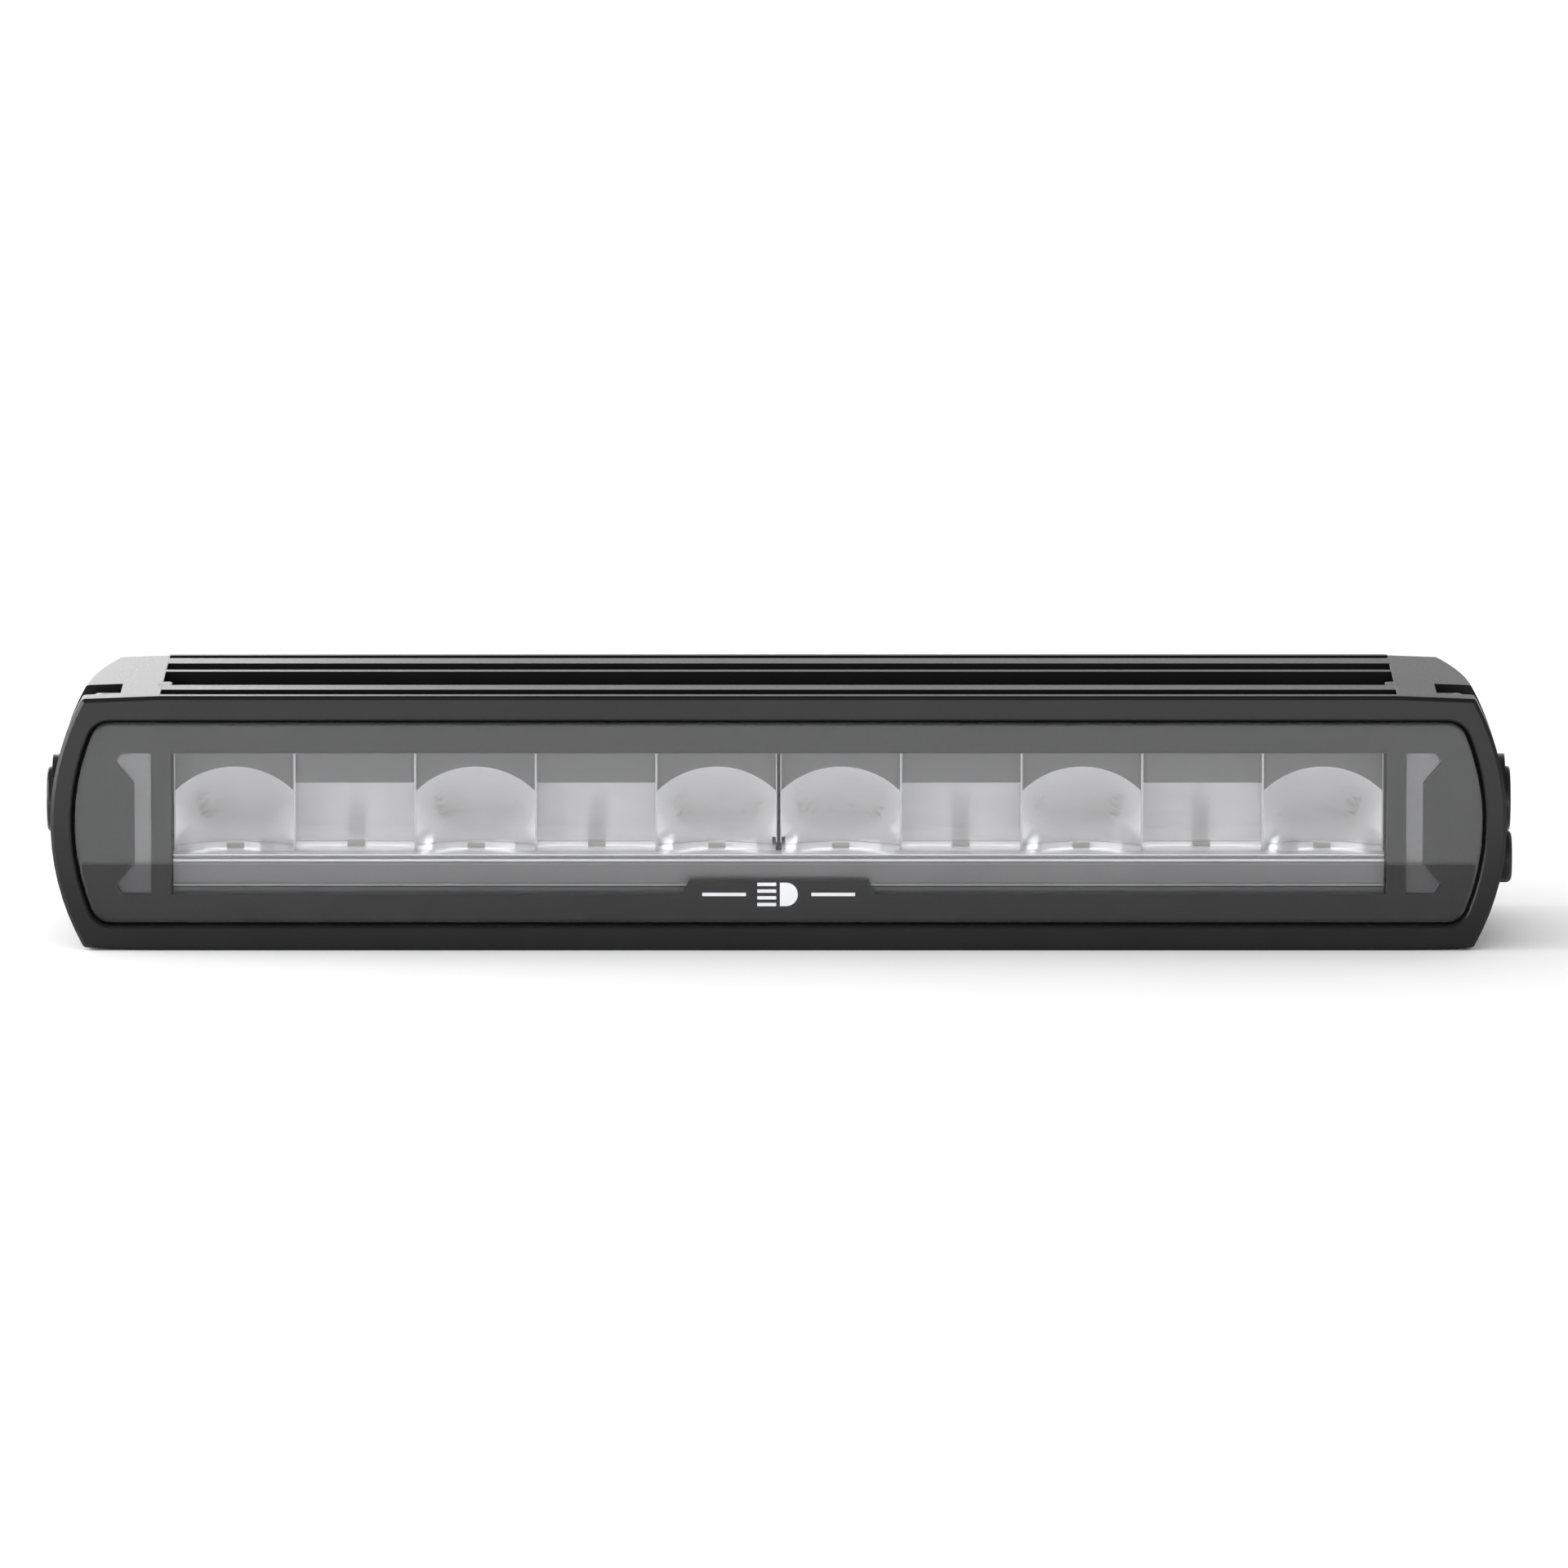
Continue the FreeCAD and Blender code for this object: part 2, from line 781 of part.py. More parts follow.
def parabola_face(focal, length, height):
    """Half of a parabola that opens along +X, closed by its axis and its mouth."""
    rim = Vector(length, height, 0)
    curve = Part.Parabola()
    curve.Focal = focal
    edge = Part.ArcOfParabola(curve, 0, height).toBSpline().toShape()
    mouth = Part.makeLine(rim, Vector(length, 0, 0))
    axis = Part.makeLine(Vector(length, 0, 0), Vector())
    return Part.Face(Part.Wire([edge, mouth, axis]))


def dish_hollow(centre, bottom, depth, radius):
    """The space of a round dish whose axis runs forwards, a little longer than the dish."""
    focal = radius * radius / (4 * depth)
    reach = depth + d.rib_depth.value + OVERRUN
    face = parabola_face(focal, reach, math.sqrt(4 * focal * reach))
    solid = face.revolve(Vector(), Vector(1, 0, 0), 360)
    solid.Placement = Placement(Vector(centre, d.dish_vertex.value, bottom), Rotation(Vector(0, 0, 1), -90))
    return solid


def trough_hollow(centre, bottom, depth, height):
    """The space of a straight trough that is open forwards and downwards."""
    focal = height * height / (4 * depth)
    reach = depth + d.rib_depth.value + OVERRUN
    face = parabola_face(focal, reach, math.sqrt(4 * focal * reach))
    width = d.cell_pitch.value
    solid = face.extrude(Vector(0, 0, width))
    turn = Rotation(Vector(0, -1, 0), Vector(0, 0, 1), Vector(-1, 0, 0), "XYZ")
    solid.Placement = Placement(Vector(centre + width / 2, d.dish_vertex.value, bottom), turn)
    return solid


def solid_box(low, high):
    size = [end - start for start, end in zip(low, high)]
    return Part.makeBox(size[0], size[1], size[2], Vector(*low))


def reflector_shape():
    """The right reflector module: dishes and troughs by turns, with ribs between them."""
    bottom = (MID + MODULE_BOTTOM).value
    top = (MID + d.module_top).value
    front = d.web_front.value
    rib_front = (d.web_front - d.rib_depth).value
    inner = d.module_gap.value
    pitch = d.cell_pitch.value
    half_rib = d.rib_thickness.value / 2
    depth = (d.dish_vertex - d.web_front).value
    block = solid_box((inner, front, bottom), (MODULE_REACH.value, d.module_rear.value, top))
    ribs = []
    hollows = []
    for cell in range(CELLS + 1):
        line = inner + pitch * cell
        left = max(line - half_rib, inner)
        right = min(line + half_rib, MODULE_REACH.value)
        ribs.append(solid_box((left, rib_front, bottom), (right, front, top)))
    for cell in range(CELLS):
        centre = inner + pitch * (cell + 0.5)
        room = solid_box((centre - pitch / 2 + half_rib, rib_front - OVERRUN, bottom),
                         (centre + pitch / 2 - half_rib, 0, top))
        if cell % 2 == 0:
            hollow = dish_hollow(centre, bottom, depth, d.dish_radius.value)
        else:
            hollow = trough_hollow(centre, bottom, depth, d.trough_height.value)
        hollows.append(hollow.common(room))
    tabs = []
    tab_half = d.tab_half_width.value
    tab_rear = (d.board_rear - d.tab_rear_play).value
    for x, _ in optics_screw_places():
        tabs.append(solid_box((x.value - tab_half, d.module_rear.value, bottom),
                              (x.value + tab_half, tab_rear, (MID + HEAD_SEAT).value)))
    shape = block.fuse(ribs + tabs).cut(hollows)
    notch = solid_box((0, rib_front - OVERRUN, bottom),
                      (d.pin_notch.value, 0, bottom + d.pin_notch_height.value))
    holes = [Part.makeCylinder(d.small_screw_radius.value, top - bottom,
                               Vector(x.value, y.value, bottom))
             for x, y in optics_screw_places()]
    return shape.cut([notch] + holes).removeSplitter()


def optics_screw_places():
    start = d.module_gap + d.cell_pitch / 2
    return [(start + d.optics_screw_spacing * index, d.optics_screw_depth) for index in range(3)]


def optics_screw_circles(side=1):
    return [Circle(side * x, y, d.small_screw_radius) for x, y in optics_screw_places()]


def make_reflectors():
    module = doc.addObject("Part::Feature", "reflector_module_right")
    module.Shape = reflector_shape()
    publish_pair(module, "reflector_module")


def make_led_boards():
    outline = rectangle(d.module_gap + d.module_side_play, d.board_front,
                        MODULE_REACH - d.module_side_play, d.board_rear)
    low = MID + d.shelf_top
    pad = extruded_body("thermal_pad_right", "Z", low, low + d.pad_thickness, outline,
                        *optics_screw_circles())
    board = extruded_body("led_board_right", "Z", low + d.pad_thickness, MID + BOARD_TOP, outline,
                          *optics_screw_circles())
    publish_pair(pad, "thermal_pad")
    publish_pair(board, "led_board")


def make_leds():
    """One package in each cell, a little ahead of the focus."""
    depth = d.dish_vertex - d.web_front
    dish_focus = d.dish_vertex - d.dish_radius * d.dish_radius / (depth * 4)
    trough_focus = d.dish_vertex - d.trough_height * d.trough_height / (depth * 4)
    half = d.led_size / 2
    packages = []
    for cell in range(CELLS):
        y = dish_focus - d.dish_led_lead if cell % 2 == 0 else trough_focus - d.trough_led_lead
        distance = d.module_gap + d.cell_pitch * (cell + 0.5)
        for x in (distance, -distance):
            packages.append(box((x - half, y - half, BOARD_TOP),
                                (x + half, y + half, BOARD_TOP + d.led_height)))
    publish(group(*packages), "led_packages")


def make_optics_screws():
    screws = []
    for side in (1, -1):
        for x, y in optics_screw_places():
            head = cylinder("Z", HEAD_SEAT, HEAD_SEAT + d.small_screw_head_height,
                            d.small_screw_head, side * x, y)
            shank = cylinder("Z", d.shelf_top - d.shelf_thickness, HEAD_SEAT,
                             d.small_screw_radius, side * x, y)
            screws.append(fuse(head, shank))
    publish(group(*screws), "optics_screws")


def make_lower_trim():
    """A stepped moulding; its profile runs from the LED boards down to the mask's foot."""
    lip = d.trim_front
    top = BOARD_TOP - d.trim_play
    foot = -d.chamber_half + d.trim_play
    rear = d.web_front - d.trim_rear_play
    profile = [
        Corner(rear, top),
        Corner(rear, BOARD_TOP - d.trim_web),
        Corner(lip + d.trim_wall, BOARD_TOP - d.trim_web),
        Corner(lip + d.trim_wall, foot),
        Corner(lip + d.trim_foot_depth, foot),
        Corner(lip + d.trim_foot_depth, BOARD_TOP - d.trim_bead_end - d.trim_slope * 3),
        Corner(lip, BOARD_TOP - d.trim_bead_end),
        Corner(lip, BOARD_TOP - d.trim_slab_end - d.trim_slope * 2),
        Corner(lip + d.trim_slab_depth, BOARD_TOP - d.trim_slab_end),
        Corner(lip + d.trim_slab_depth, BOARD_TOP - d.trim_rail_end - d.trim_slope * 3),
        Corner(lip, BOARD_TOP - d.trim_rail_end),
        Corner(lip, BOARD_TOP - d.trim_groove_end - d.trim_slope),
        Corner(lip + d.trim_groove_depth, BOARD_TOP - d.trim_groove_end),
        Corner(lip + d.trim_groove_depth, BOARD_TOP - d.trim_lip_end - d.trim_slope),
        Corner(lip, BOARD_TOP - d.trim_lip_end),
        Corner(lip, top),
    ]
    body = extruded_body("lower_trim", "X", -d.trim_reach, d.trim_reach, profile)
    publish(body, "lower_trim")


def make_position_lights():
    guide = extruded_body("position_light_guide_right", "Y", d.guide_front, d.guide_rear,
                          bracket_outline(d.guide_margin))
    board = extruded_body("position_light_board_right", "Y", d.position_board_front,
                          d.position_board_rear,
                          rectangle(d.bracket_inner, -d.position_board_half,
                                    d.bracket_tip, d.position_board_half))
    publish_pair(guide, "position_light_guide")
    publish_pair(board, "position_light_board")
    packages = []
    half = d.led_size / 2
    middle = (d.bracket_inner + d.bracket_outer) / 2
    for x in (middle, -middle):
        for z in (-d.position_board_half / 2, d.position_board_half / 2):
            packages.append(box((x - half, d.position_board_front - d.led_height, z - half),
                                (x + half, d.position_board_front, z + half)))
    publish(group(*packages), "position_leds")


# Housing

def make_housing():
    body = extruded_body("housing_extrusion", "X", -d.joint_reach, d.joint_reach,
                         rectangle(BEZEL_REAR, -MID, REAR, MID))
    reach = d.joint_reach
    chamber = [
        Corner(FLANGE_REAR, -d.chamber_half),
        Corner(d.chamber_rear, -d.chamber_half),
        Corner(d.chamber_rear, d.shelf_top - d.shelf_thickness),
        Corner(d.shelf_front, d.shelf_top - d.shelf_thickness),
        Corner(d.shelf_front, d.shelf_top),
        Corner(d.chamber_rear, d.shelf_top),
        Corner(d.chamber_rear, d.chamber_half),
        Corner(FLANGE_REAR, d.chamber_half),
    ]
    rebate = OPENING_HALF + d.flange_overlap + d.flange_play
    add_pocket(body, "X", -reach, reach, rectangle(BEZEL_REAR, -rebate, FLANGE_REAR, rebate))
    add_pocket(body, "X", -reach, reach, chamber)
    grooves = [
        (BEZEL_REAR, d.front_groove_end, d.front_groove_depth),
        (d.wide_groove_start, d.wide_groove_end, d.wide_groove_depth),
        (d.middle_groove_start, d.middle_groove_end, d.middle_groove_depth),
        (d.rear_groove_start, d.rear_groove_end, d.rear_groove_depth),
    ]
    top = [rectangle(start, MID - depth, end, MID) for start, end, depth in grooves]
    low = [rectangle(start, -MID, end, -MID + depth) for start, end, depth in grooves]
    add_pocket(body, "X", -reach, reach, *top)
    add_pocket(body, "X", -reach, reach, *low)
    half = d.fin_slot_height / 2
    slots = [rectangle(REAR - d.fin_slot_depth, d.fin_pitch * step - half,
                       REAR, d.fin_pitch * step + half) for step in (-2, -1, 0, 1, 2)]
    add_pocket(body, "X", -reach, reach, *slots)
    screw_holes = [Circle(y, z, d.cap_screw_radius) for y, z in cap_screw_places()]
    add_pocket(body, "X", reach - d.cap_screw_grip, reach, *screw_holes)
    add_pocket(body, "X", -reach, -reach + d.cap_screw_grip, *screw_holes)
    add_pocket(body, "Y", d.gland_wall, REAR, Circle(d.gland_place, ZERO, d.gland_pocket))
    add_pocket(body, "Y", d.chamber_rear, d.gland_wall, Circle(d.gland_place, ZERO, d.gland_neck))
    shelf_low = MID + d.shelf_top - d.shelf_thickness
    for side in (1, -1):
        add_pocket(body, "Z", shelf_low, MID + d.shelf_top, *optics_screw_circles(side))
    publish(body, "housing_extrusion")


def cap_screw_places():
    return [(d.cap_screw_front_y, level * d.cap_screw_front_z) for level in (-1, 1)] + [
        (d.cap_screw_rear_y, level * d.cap_screw_rear_z) for level in (-1, 1)]


def gasket_outline():
    """Open at the front, where the flange closes the chamber."""
    return [
        Corner(FLANGE_REAR, -d.gasket_outer),
        Corner(d.gasket_rear, -d.gasket_outer),
        Corner(d.gasket_rear, d.gasket_outer),
        Corner(FLANGE_REAR, d.gasket_outer),
        Corner(FLANGE_REAR, d.gasket_inner),
        Corner(d.gasket_rear - d.gasket_rail, d.gasket_inner),
        Corner(d.gasket_rear - d.gasket_rail, -d.gasket_inner),
        Corner(FLANGE_REAR, -d.gasket_inner),
    ]


def add_lugs(body):
    """Chamfered lugs that locate the cap in the housing's wide grooves."""
    start = d.wide_groove_start + d.lug_play
    outline = [
        Corner(d.joint_reach + OVERRUN, start),
        Corner(d.joint_reach + OVERRUN, start + d.lug_width),
        Corner(d.joint_reach - d.lug_length + d.lug_chamfer, start + d.lug_width),
        Corner(d.joint_reach - d.lug_length, start + d.lug_width - d.lug_chamfer * 2),
        Corner(d.joint_reach - d.lug_length, start),
    ]
    depth = d.wide_groove_depth - d.lug_play
    add_pad(body, "Z", d.bar_height - depth, d.bar_height, outline)
    add_pad(body, "Z", ZERO, depth, outline)


def make_end_caps():
    """The right cap is a body; the left one is its mirror image, without the vent's hole."""
    body = extruded_body("end_cap", "Y", BEZEL_REAR, d.plan_start,
                         end_outline(d.joint_reach - d.cap_blank_overlap, ZERO))
    sweep_x = d.bar_length / 2 - d.plan_radius
    sketch = add_sketch(body, "Y", d.plan_start,
                        [end_outline(d.joint_reach - d.cap_blank_overlap, sweep_x)], sweep_x)
    swept = body.newObject("PartDesign::Revolution", "Revolution")
    swept.Profile = sketch
    swept.ReferenceAxis = (sketch, ["V_Axis"])
    swept.Angle = SWEEP_ANGLE
    doc.recompute()
    if body.Shape.BoundBox.YMax < REAR.value:
        swept.Reversed = True
        doc.recompute()
    add_fillet(body, d.corner_round,
               lambda edge: is_outer_corner(edge) and edge.BoundBox.YMax < d.plan_start.value + 0.01)
    sweep_end = d.bar_depth * 2
    add_pocket(body, "Z", ZERO, d.bar_height,
               rectangle(ZERO, BEZEL_REAR - OVERRUN, d.joint_reach, sweep_end))
    add_pocket(body, "Z", ZERO, d.bar_height,
               rectangle(d.joint_reach - OVERRUN, REAR, d.bar_length / 2, sweep_end))
    add_lugs(body)
    add_pad(body, "X", d.cavity_reach, d.boss_reach, Circle(d.bolt_depth, ZERO, d.boss_radius))
    add_pocket(body, "X", d.boss_reach, d.bar_length / 2 + OVERRUN,
               Circle(d.bolt_depth, ZERO, d.boss_radius))
    add_pocket(body, "Y", BEZEL_REAR, FLANGE_REAR, grown_opening(d.flange_overlap + d.flange_play))
    add_pocket(body, "X", d.joint_reach, d.cavity_reach,
               rectangle(FLANGE_REAR, -d.cavity_half, d.position_board_rear, d.cavity_half))
    inner_half = d.position_board_half - d.position_board_ledge
    add_pocket(body, "X", d.joint_reach, d.cavity_reach,
               rectangle(d.position_board_rear, -inner_half, d.cavity_rear, inner_half))
    add_pocket(body, "X", d.joint_reach, d.joint_reach + d.gasket_thickness, gasket_outline())
    notches = [rectangle(d.notch_front, d.notch_floor, d.notch_rear, MID + OVERRUN),
               rectangle(d.notch_front, -MID - OVERRUN, d.notch_rear, -d.notch_floor)]
    add_pocket(body, "X", d.notch_reach, d.bar_length / 2 + OVERRUN, *notches)
    bezel_holes = [Circle(d.bezel_screw_reach, level * d.bezel_screw_height, d.small_screw_radius)
                   for level in (-1, 1)]
    add_pocket(body, "Y", BEZEL_REAR, d.notch_front, *bezel_holes)
    screw_holes = [Circle(y, z, d.cap_screw_radius) for y, z in cap_screw_places()]
    add_pocket(body, "X", d.joint_reach, d.notch_reach, *screw_holes)
    counterbores = [Circle(d.cap_screw_rear_y, level * d.cap_screw_rear_z,
                           d.cap_screw_head + d.counterbore_play)
                    for level in (-1, 1)]
    add_pocket(body, "X", d.notch_reach, d.bar_length / 2, *counterbores)
    add_pocket(body, "X", d.insert_start, d.boss_reach, Circle(d.bolt_depth, ZERO, d.insert_radius))
    add_pocket(body, "X", d.bolt_relief, d.insert_start,
               Circle(d.bolt_depth, ZERO, d.bolt_radius + d.bolt_relief_play))
    publish(mirrored(body), "end_cap_left")
    seat = cylinder("X", d.vent_seat, d.bar_length / 2 + OVERRUN, d.vent_radius,
                    ZERO, d.vent_depth, d.vent_height)
    hole = cylinder("X", d.cavity_reach - OVERRUN, d.vent_seat, d.vent_stem,
                    ZERO, d.vent_depth, d.vent_height)
    publish(cut(body, fuse(seat, hole)), "end_cap_right")


def make_gaskets():
    body = extruded_body("end_cap_gasket_right", "X", d.joint_reach,
                         d.joint_reach + d.gasket_thickness, gasket_outline())
    publish_pair(body, "end_cap_gasket")


def make_cap_screws():
    screws = []
    for y, z in cap_screw_places():
        head = cylinder("X", d.notch_reach, d.notch_reach + d.cap_screw_head_height,
                        d.cap_screw_head, ZERO, y, z)
        socket = hexagon("X", d.notch_reach + d.cap_screw_head_height / 2,
                         d.notch_reach + d.cap_screw_head_height, d.cap_screw_head / 2, ZERO, y, z)
        shank = cylinder("X", d.joint_reach - d.cap_screw_grip, d.notch_reach,
                         d.cap_screw_radius, ZERO, y, z)
        screws.append(fuse(cut(head, socket), shank))
    right = group(*screws)
    publish(group(right, mirrored(right)), "end_cap_screws")


def make_bezel_screws():
    screws = []
    for level in (-1, 1):
        x = d.bezel_screw_reach
        z = level * d.bezel_screw_height
        head_rear = d.notch_front + d.small_screw_head_height
        head = cylinder("Y", d.notch_front, head_rear, d.small_screw_head, x, ZERO, z)
        socket = hexagon("Y", head_rear - d.small_screw_head_height / 2, head_rear,
                         d.small_screw_head / 2, x, ZERO, z)
        shank = cylinder("Y", BEZEL_REAR - d.bezel_screw_bite, d.notch_front,
                         d.small_screw_radius, x, ZERO, z)
        screws.append(fuse(cut(head, socket), shank))
    right = group(*screws)
    publish(group(right, mirrored(right)), "bezel_screws")


# Side bolts and vent

def make_side_bolts():
    y = d.bolt_depth
    washer = cut(cylinder("X", d.boss_reach, WASHER_REACH, d.washer_radius, ZERO, y),
                 cylinder("X", d.boss_reach, WASHER_REACH, d.washer_bore, ZERO, y))
    publish_pair(washer, "side_washer")
    insert = cut(cylinder("X", d.insert_start, d.insert_end, d.insert_radius, ZERO, y),
                 cylinder("X", d.insert_start, d.insert_end, d.insert_bore, ZERO, y))
    publish_pair(insert, "threaded_insert")
    body = extruded_body("side_bolt_blank", "X", WASHER_REACH, BOLT_REACH,
                         Circle(y, ZERO, d.bolt_head_radius))
    add_fillet(body, d.bolt_head_round, lambda edge: lies_at(edge, "X", BOLT_REACH.value))
    add_pad(body, "X", d.bolt_tip_reach, WASHER_REACH, Circle(y, ZERO, d.bolt_radius))
    add_chamfer(body, d.bolt_head_round, lambda edge: lies_at(edge, "X", d.bolt_tip_reach.value))
    socket = hexagon("X", BOLT_REACH - d.bolt_socket_depth, BOLT_REACH, d.bolt_socket, ZERO, y)
    publish_pair(cut(body, socket), "side_bolt")


def make_vent():
    y = d.vent_depth
    z = d.vent_height
    body = extruded_body("vent_plug_blank", "X", d.vent_seat, d.vent_reach, Circle(y, z, d.vent_radius))
    add_fillet(body, d.vent_round, lambda edge: lies_at(edge, "X", d.vent_reach.value))
    add_pad(body, "X", d.cavity_reach, d.vent_seat, Circle(y, z, d.vent_stem))
    add_pocket(body, "X", d.cavity_reach, d.vent_seat, Circle(y, z, d.vent_bore))
    channel_x = d.vent_seat + d.vent_channel
    channel = cylinder("Z", z - d.vent_radius - OVERRUN, z, d.vent_bore / 2, channel_x, y)
    inlet = cylinder("X", d.vent_seat, channel_x, d.vent_bore, ZERO, y, z)
    publish(cut(body, fuse(channel, inlet)), "vent_plug")
    membrane = cylinder("X", d.membrane_place, d.membrane_place + d.membrane_thickness,
                        d.vent_bore, ZERO, y, z)
    publish(membrane, "vent_membrane")


# Driver and cable gland

def driver_screw_places():
    return [(side * d.driver_screw_reach, level)
            for side in (-1, 1) for level in (d.driver_screw_low, d.driver_screw_high)]


def make_driver():
    holes = [Circle(x, z, d.small_screw_radius) for x, z in driver_screw_places()]
    board = extruded_body("driver_board", "Y", d.driver_front, DRIVER_REAR,
                          rectangle(-d.driver_reach, d.driver_low, d.driver_reach, d.driver_high),
                          *holes)
    publish(board, "driver_board")
    standoffs = []
    screws = []
    for x, z in driver_screw_places():
        tube = cylinder("Y", DRIVER_REAR, d.chamber_rear, d.standoff_radius, x, ZERO, z)
        bore = cylinder("Y", DRIVER_REAR, d.chamber_rear, d.small_screw_radius, x, ZERO, z)
        standoffs.append(cut(tube, bore))
        head = cylinder("Y", d.driver_front - d.small_screw_head_height, d.driver_front,
                        d.small_screw_head, x, ZERO, z)
        shank = cylinder("Y", d.driver_front, d.chamber_rear - d.driver_screw_play,
                         d.small_screw_radius, x, ZERO, z)
        screws.append(fuse(head, shank))
    publish(group(*standoffs), "driver_standoffs")
    publish(group(*screws), "driver_board_screws")
    low = d.component_low
    high = d.component_high
    publish(driver_blocks(INDUCTOR_STARTS, d.inductor_width, d.inductor_depth,
                          d.inductor_low, d.inductor_high), "driver_inductors")
    capacitors = [cylinder("Y", d.driver_front - d.capacitor_depth, d.driver_front,
                           d.capacitor_radius, as_size(x), ZERO, d.capacitor_level)
                  for x in CAPACITOR_PLACES]
    publish(group(*capacitors), "driver_capacitors")
    publish(driver_blocks(TRANSISTOR_STARTS, d.transistor_width, d.transistor_depth, low, high),
            "driver_power_transistors")
    controller = box((CONTROLLER_START, d.driver_front - d.controller_depth, low),
                     (CONTROLLER_START + d.controller_width, d.driver_front, low + d.controller_width))
    publish(controller, "driver_controller")
    starts = [x - d.connector_width / 2 for x in CONNECTOR_PLACES]
    publish(driver_blocks(starts, d.connector_width, d.connector_depth, low, high), "board_connectors")


def driver_blocks(starts, width, depth, low, high):
    """Equal blocks on the front of the driver board, from each start to the right."""
    return group(*[box((start, d.driver_front - depth, low), (start + width, d.driver_front, high))
                   for start in starts])


def make_cable_gland():
    x = d.gland_place
    body = fuse(hexagon("Y", d.gland_wall, d.gland_flange_rear, d.gland_flange, x),
                cylinder("Y", d.chamber_rear - d.gland_nut_thickness - d.gland_stem_play,
                         d.gland_wall, d.gland_neck, x))
    bore = fuse(cylinder("Y", d.gland_seal_front, d.gland_flange_rear, d.gland_seal_radius, x),
                cylinder("Y", ZERO, d.gland_seal_front, d.cable_radius + d.gland_bore_play, x))
    publish(cut(body, bore), "cable_gland_body")
    cap_bore = fuse(cylinder("Y", d.gland_flange_rear, d.gland_seal_rear, d.gland_seal_radius, x),
                    cylinder("Y", d.gland_seal_rear, d.gland_cap_rear,
                             d.cable_radius + d.gland_cap_bore_play, x))
    cap = cylinder("Y", d.gland_flange_rear, d.gland_cap_rear, d.gland_cap_radius, x)
    publish(cut(cap, cap_bore), "cable_gland_cap")
    seal = cut(cylinder("Y", d.gland_seal_front, d.gland_seal_rear, d.gland_seal_radius, x),
               cylinder("Y", d.gland_seal_front, d.gland_seal_rear, d.cable_radius, x))
    publish(seal, "cable_gland_seal")
    nut_front = d.chamber_rear - d.gland_nut_thickness
    nut = cut(hexagon("Y", nut_front, d.chamber_rear, d.gland_nut_radius, x),
              cylinder("Y", nut_front, d.chamber_rear, d.gland_neck, x))
    publish(nut, "cable_gland_lock_nut")


make_bezel()
make_lens()
make_lens_seal()
make_mask()
make_reflectors()
make_led_boards()
make_leds()
make_optics_screws()
make_lower_trim()
make_position_lights()
make_housing()
make_end_caps()
make_gaskets()
make_cap_screws()
make_bezel_screws()
make_side_bolts()
make_vent()
make_driver()
make_cable_gland()
doc.recompute()

for item in doc.Objects:
    if "Invalid" in item.State or "Error" in item.State:
        raise RuntimeError(f"{item.Label} failed: {item.State}")
for piece in subparts:
    if piece.Shape.isNull() or not piece.Shape.isValid():
        raise RuntimeError(f"{piece.Label} has no valid shape")

os.makedirs("parts", exist_ok=True)
for piece in subparts:
    piece.Shape.exportStep(f"parts/{piece.Label}.step")
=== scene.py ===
import json
import math

import bpy
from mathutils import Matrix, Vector


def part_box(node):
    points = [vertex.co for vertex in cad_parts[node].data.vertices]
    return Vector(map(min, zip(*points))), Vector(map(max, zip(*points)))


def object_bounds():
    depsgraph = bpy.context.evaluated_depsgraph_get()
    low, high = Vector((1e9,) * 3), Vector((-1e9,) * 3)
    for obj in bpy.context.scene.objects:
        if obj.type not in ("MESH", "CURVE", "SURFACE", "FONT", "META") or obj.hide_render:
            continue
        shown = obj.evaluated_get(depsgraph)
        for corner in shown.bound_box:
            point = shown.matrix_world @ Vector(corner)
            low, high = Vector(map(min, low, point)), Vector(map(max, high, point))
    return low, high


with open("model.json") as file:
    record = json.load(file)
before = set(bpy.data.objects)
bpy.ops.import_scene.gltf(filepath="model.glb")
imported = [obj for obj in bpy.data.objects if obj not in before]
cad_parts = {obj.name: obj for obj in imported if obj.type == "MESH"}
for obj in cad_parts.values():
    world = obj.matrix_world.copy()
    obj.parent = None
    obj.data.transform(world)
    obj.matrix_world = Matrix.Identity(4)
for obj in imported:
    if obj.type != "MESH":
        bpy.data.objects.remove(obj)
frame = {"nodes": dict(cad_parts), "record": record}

CAD_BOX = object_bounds()
MM = 0.001


# ---------------------------------------------------------------- materials

def new_material(name):
    """A material with a Principled shader on its output."""
    material = bpy.data.materials.new(name)
    material.use_nodes = True
    return material, material.node_tree, material.node_tree.nodes["Principled BSDF"]


def add_node(tree, kind, **settings):
    """Add a node with the given settings."""
    node = tree.nodes.new(kind)
    for name, value in settings.items():
        setattr(node, name, value)
    return node


def set_sockets(node, **values):
    """Set input sockets by name; an underscore stands for a space."""
    for name, value in values.items():
        node.inputs[name.replace("_", " ")].default_value = value


def noise(tree, size, detail=2.0, stretch=(1, 1, 1)):
    """A noise pattern in object space, with grains of about the given size in metres."""
    place = add_node(tree, "ShaderNodeTexCoord")
    scale = add_node(tree, "ShaderNodeMapping")
    scale.inputs["Scale"].default_value = [1 / (size * each) for each in stretch]
    pattern = add_node(tree, "ShaderNodeTexNoise")
    set_sockets(pattern, Scale=1.0, Detail=detail)
    tree.links.new(place.outputs["Object"], scale.inputs["Vector"])
    tree.links.new(scale.outputs["Vector"], pattern.inputs["Vector"])
    return pattern.outputs["Fac"]


def ramp(tree, source, low, high, from_low=0.3, from_high=0.7):
    """Spread a pattern between two numbers."""
    spread = add_node(tree, "ShaderNodeMapRange")
    set_sockets(spread, From_Min=from_low, From_Max=from_high, To_Min=low, To_Max=high)
    tree.links.new(source, spread.inputs["Value"])
    return spread.outputs["Result"]


